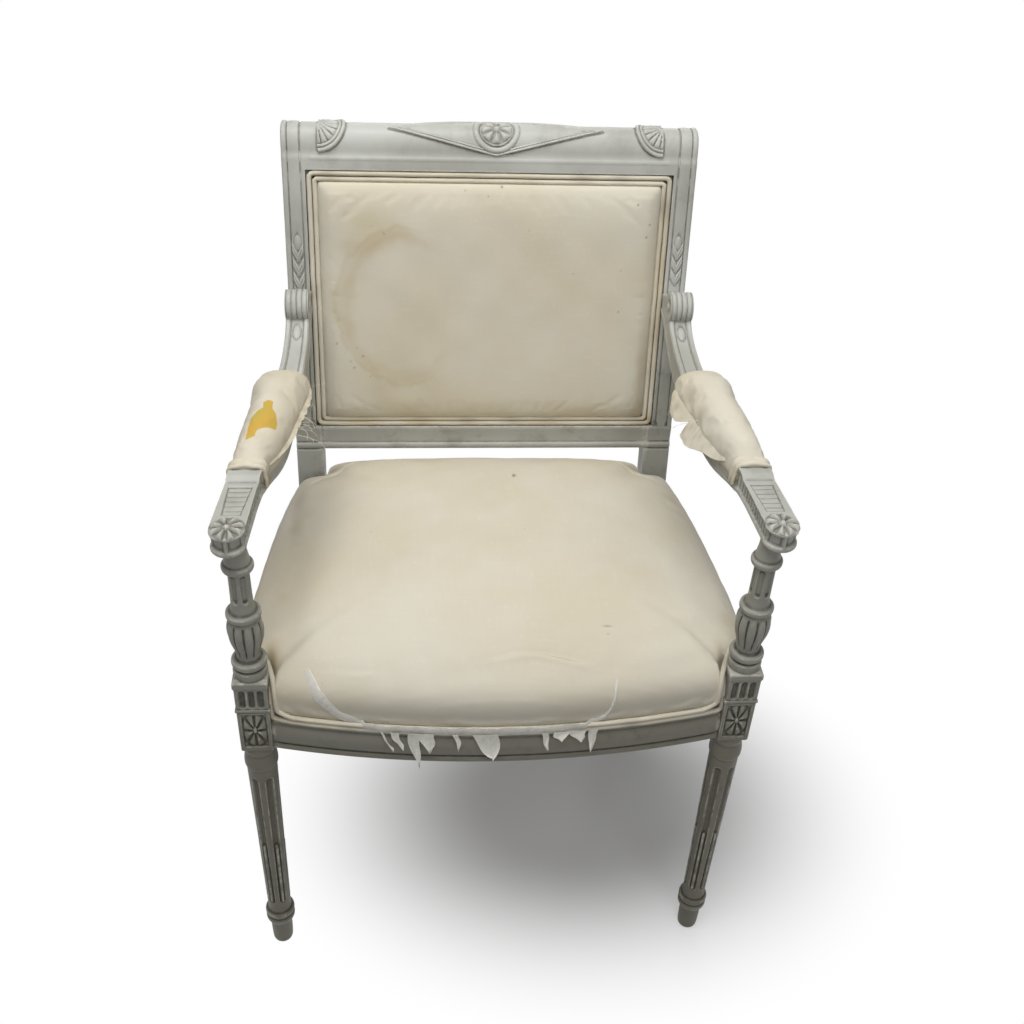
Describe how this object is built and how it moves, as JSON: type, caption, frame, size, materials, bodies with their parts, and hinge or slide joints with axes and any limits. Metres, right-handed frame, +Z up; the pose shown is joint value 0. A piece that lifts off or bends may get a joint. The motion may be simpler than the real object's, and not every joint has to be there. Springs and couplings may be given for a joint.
{
  "type": "upholstered open armchair",
  "caption": "Painted open armchair with fluted turned front legs, turned arm supports, scrolled arms with pads, a sprung seat and a framed, padded back.",
  "frame": {"origin": "on the floor under the middle of the chair's box", "axes": "+Z up, +X to the right seen from the front, the sitter faces -Y"},
  "size_m": [0.566, 0.5122, 0.8953],
  "materials": {
    "painted_wood": "satin grey-green paint, worn",
    "calico": "plain cream cotton lining cloth, stained",
    "jute": "woven jute webbing and canvas",
    "stuffing": "curled hair stuffing",
    "beech": "bare sawn beech",
    "steel_screws": "dull steel",
    "steel_springs": "dull drawn wire"
  },
  "bodies": {
    "root": {"left_back_post": "painted_wood", "left_arm_screw": "steel_screws", "right_back_post": "painted_wood", "right_arm_screw": "steel_screws", "back_lower_rail": "painted_wood", "crest_rail": "painted_wood", "back_stuffing": "stuffing", "back_inner_cover": "calico", "back_welt": "calico", "back_outer_cover": "calico", "back_web_across_1": "jute", "back_web_across_2": "jute", "back_web_along_1": "jute", "back_web_along_2": "jute", "left_front_leg": "painted_wood", "right_front_leg": "painted_wood", "left_arm_support": "painted_wood", "right_arm_support": "painted_wood", "left_front_corner_block": "beech", "left_rear_corner_block": "beech", "left_seat_rail": "painted_wood", "left_arm": "painted_wood", "right_front_corner_block": "beech", "right_rear_corner_block": "beech", "right_seat_rail": "painted_wood", "right_arm": "painted_wood", "front_seat_rail": "painted_wood", "rear_seat_rail": "painted_wood", "left_front_block_screw_1": "steel_screws", "left_front_block_screw_2": "steel_screws", "left_rear_block_screw_1": "steel_screws", "left_rear_block_screw_2": "steel_screws", "right_front_block_screw_1": "steel_screws", "right_front_block_screw_2": "steel_screws", "right_rear_block_screw_1": "steel_screws", "right_rear_block_screw_2": "steel_screws", "seat_web_across_1": "jute", "seat_web_across_2": "jute", "seat_web_across_3": "jute", "seat_web_across_4": "jute", "seat_web_along_1": "jute", "seat_web_along_2": "jute", "seat_web_along_3": "jute", "seat_web_along_4": "jute", "seat_spring_1": "steel_springs", "seat_spring_2": "steel_springs", "seat_spring_3": "steel_springs", "seat_spring_4": "steel_springs", "seat_spring_5": "steel_springs", "spring_canvas": "jute", "seat_stuffing": "stuffing", "seat_cover": "calico", "front_seat_welt": "calico", "left_seat_welt": "calico", "right_seat_welt": "calico", "rear_seat_welt": "calico", "left_arm_stuffing": "stuffing", "left_arm_cover": "calico", "right_arm_stuffing": "stuffing", "right_arm_cover": "calico"}
  },
  "joints": []
}
